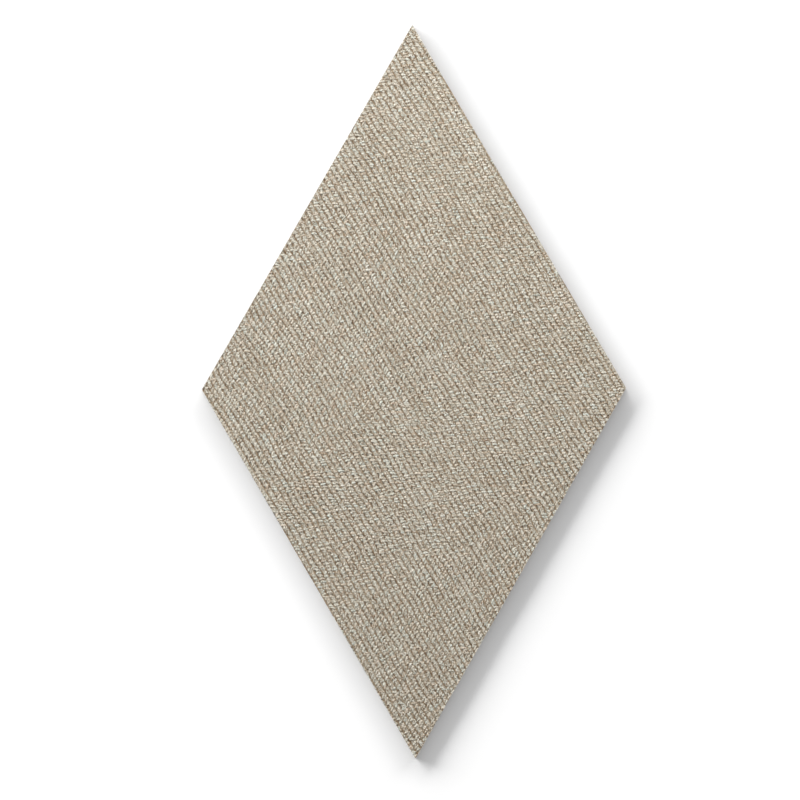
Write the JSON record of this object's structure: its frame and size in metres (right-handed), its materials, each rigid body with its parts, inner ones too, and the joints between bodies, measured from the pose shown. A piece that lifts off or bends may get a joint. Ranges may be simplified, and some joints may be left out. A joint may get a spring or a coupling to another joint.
{
  "type": "woven vinyl floor tile",
  "caption": "Flat rhombus floor tile of ribbed woven vinyl, glued down on its flat back and laid edge to edge with others in a geometric pattern.",
  "frame": {"origin": "middle of the flat back, where the two diagonals of the rhombus cross", "axes": "+Z out of the ribbed wear face, +Y along the long diagonal to the upper tip, +X along the short diagonal"},
  "size_m": [0.25, 0.433, 0.003],
  "materials": {
    "woven_vinyl": "matte woven vinyl, pale greige yarn over brown grooves"
  },
  "bodies": {
    "root": {"woven_vinyl_tile": "woven_vinyl"}
  },
  "joints": []
}
